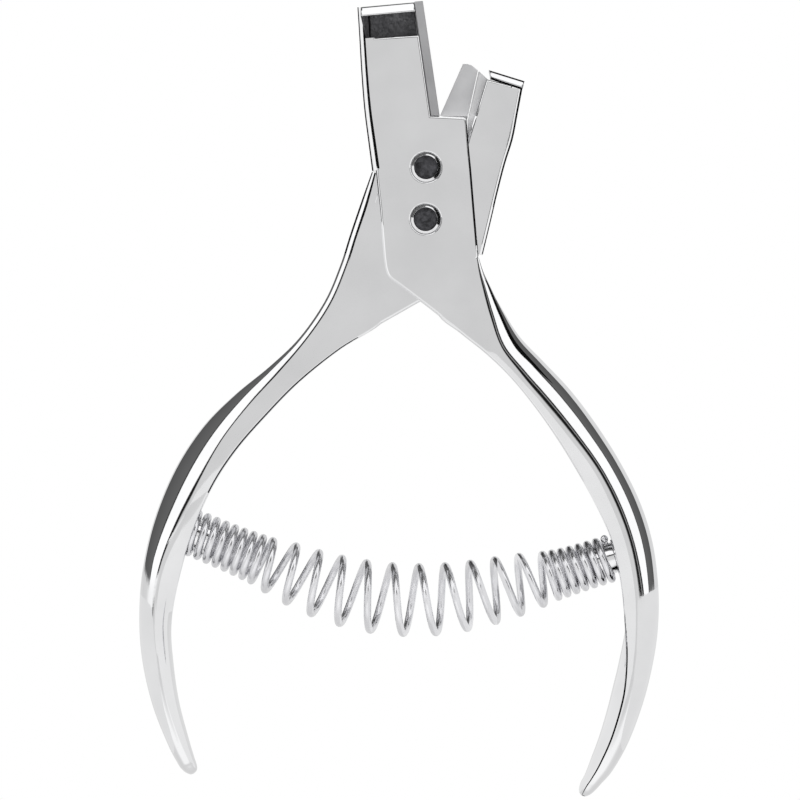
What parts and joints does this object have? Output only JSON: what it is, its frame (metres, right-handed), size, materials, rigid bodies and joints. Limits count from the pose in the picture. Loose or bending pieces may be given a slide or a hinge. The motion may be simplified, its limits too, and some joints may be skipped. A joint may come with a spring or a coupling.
{
  "type": "notching plier",
  "caption": "Hand notching plier of pressed plated steel: crossing channel arms on one pivot, V cutter, slotted die plate and a barrel coil spring between the handles.",
  "frame": {"origin": "on the pivot axis, in the plane of the back face the tool lies on", "axes": "+X across the handles towards the outer arm's handle, +Y towards the jaws, +Z out of the front face"},
  "size_m": [0.1013, 0.1551, 0.0154],
  "materials": {
    "chrome_plate": "bright chrome over pressed sheet steel",
    "tool_steel": "ground tool steel, dull",
    "ground_steel": "ground cutter steel with a fine bevel",
    "sleeve_steel": "turned bright steel",
    "dark_core": "blackened rivet steel",
    "spring_wire": "drawn spring wire, plated",
    "shim_brass": "stamped brass shim"
  },
  "bodies": {
    "outer_arm": {"outer_arm": "chrome_plate", "die_plate": "tool_steel", "die_jaw_cap": "chrome_plate", "die_bush": "sleeve_steel", "die_pin": "dark_core", "pivot_bush": "sleeve_steel", "pivot_pin": "dark_core", "shim_front": "shim_brass", "shim_back": "shim_brass", "handle_spring": "spring_wire", "spring_peg_right": "sleeve_steel"},
    "inner_arm": {"inner_arm": "chrome_plate", "pivot_spacer": "sleeve_steel", "v_blade": "ground_steel", "blade_block": "tool_steel", "blade_jaw_cap": "chrome_plate", "spring_peg_left": "sleeve_steel"}
  },
  "joints": [
    {"name": "handle_pivot", "type": "hinge", "parent": "outer_arm", "child": "inner_arm", "pos_m": [0, 0, 0], "axis": [0, 0, 1], "range_deg": [0, 15], "stiffness_Nm_per_rad": 3, "springref_deg": -14.32, "deforming": ["handle_spring"]}
  ]
}
